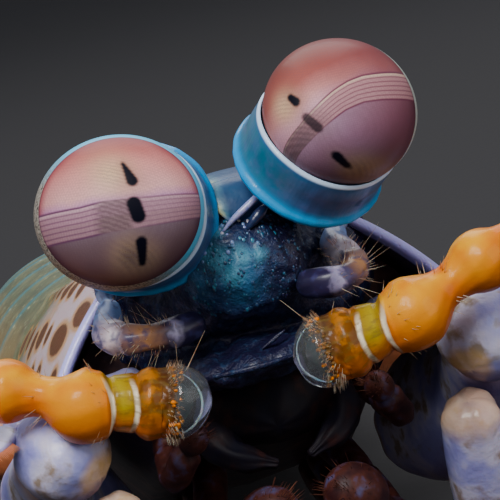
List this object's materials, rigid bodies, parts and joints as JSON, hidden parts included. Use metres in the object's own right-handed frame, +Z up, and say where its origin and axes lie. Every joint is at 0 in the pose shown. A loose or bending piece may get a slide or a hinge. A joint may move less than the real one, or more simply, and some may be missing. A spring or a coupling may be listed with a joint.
{
  "type": "mantis shrimp",
  "caption": "Life-size still mantis shrimp standing with raised head, stalked banded eyes looking two ways, folded striking limbs and a spread tail fan.",
  "frame": {"origin": "on the floor, under the middle of the model's box", "axes": "+Z up, the head looks along -Y, the animal's right side is at -X"},
  "size_m": [0.0884, 0.1928, 0.0444],
  "materials": {
    "spotted_shell": "satin shell, pinkish white with brown elongated spots",
    "green_shell": "satin olive-green shell",
    "teal_shell": "satin teal-blue shell, mottled",
    "cornea": "smooth pink and mauve facets with a banded middle",
    "clear_cap": "clear, grey-blue, wet",
    "orange_shell": "glossy orange-yellow",
    "lilac_limb": "satin lilac-white with tan patches",
    "red_limb": "matt red-orange limb",
    "scale_blade": "satin orange-red blade with a violet edge",
    "heel_shell": "glossy orange-red striking heel"
  },
  "bodies": {
    "root": {"carapace": "spotted_shell", "cephalothorax": "green_shell", "thorax_5": "green_shell", "thorax_6": "green_shell", "thorax_7": "green_shell", "thorax_8": "green_shell", "abdomen_1": "green_shell", "abdomen_2": "green_shell", "abdomen_3": "green_shell", "abdomen_4": "green_shell", "abdomen_5": "green_shell", "abdomen_6": "green_shell", "telson": "teal_shell", "uropod_right": "green_shell", "uropod_exopod_right": "teal_shell", "uropod_endopod_right": "teal_shell", "uropod_left": "green_shell", "uropod_exopod_left": "teal_shell", "uropod_endopod_left": "teal_shell", "walking_leg_1_right": "red_limb", "walking_leg_2_right": "red_limb", "walking_leg_3_right": "red_limb", "walking_leg_1_left": "red_limb", "walking_leg_2_left": "red_limb", "walking_leg_3_left": "red_limb", "eye_right": "cornea", "eyestalk_right": "teal_shell", "eye_left": "cornea", "eyestalk_left": "teal_shell", "rostral_plate": "teal_shell", "head_front": "teal_shell", "labrum": "teal_shell", "antenna_base_right": "clear_cap", "antenna_right": "orange_shell", "antenna_feeler_right": "orange_shell", "antenna_base_left": "clear_cap", "antenna_left": "orange_shell", "antenna_feeler_left": "orange_shell", "antennule_right": "lilac_limb", "antennal_scale_right": "scale_blade", "antennule_left": "lilac_limb", "antennal_scale_left": "scale_blade", "raptorial_merus_right": "lilac_limb", "raptorial_carpus_right": "lilac_limb", "raptorial_propodus_right": "lilac_limb", "raptorial_dactyl_right": "heel_shell", "raptorial_merus_left": "lilac_limb", "raptorial_carpus_left": "lilac_limb", "raptorial_propodus_left": "lilac_limb", "raptorial_dactyl_left": "heel_shell", "maxilliped_first_right": "red_limb", "maxilliped_third_right": "red_limb", "maxilliped_fourth_right": "red_limb", "maxilliped_fifth_right": "red_limb", "maxilliped_first_left": "red_limb", "maxilliped_third_left": "red_limb", "maxilliped_fourth_left": "red_limb", "maxilliped_fifth_left": "red_limb"}
  },
  "joints": []
}
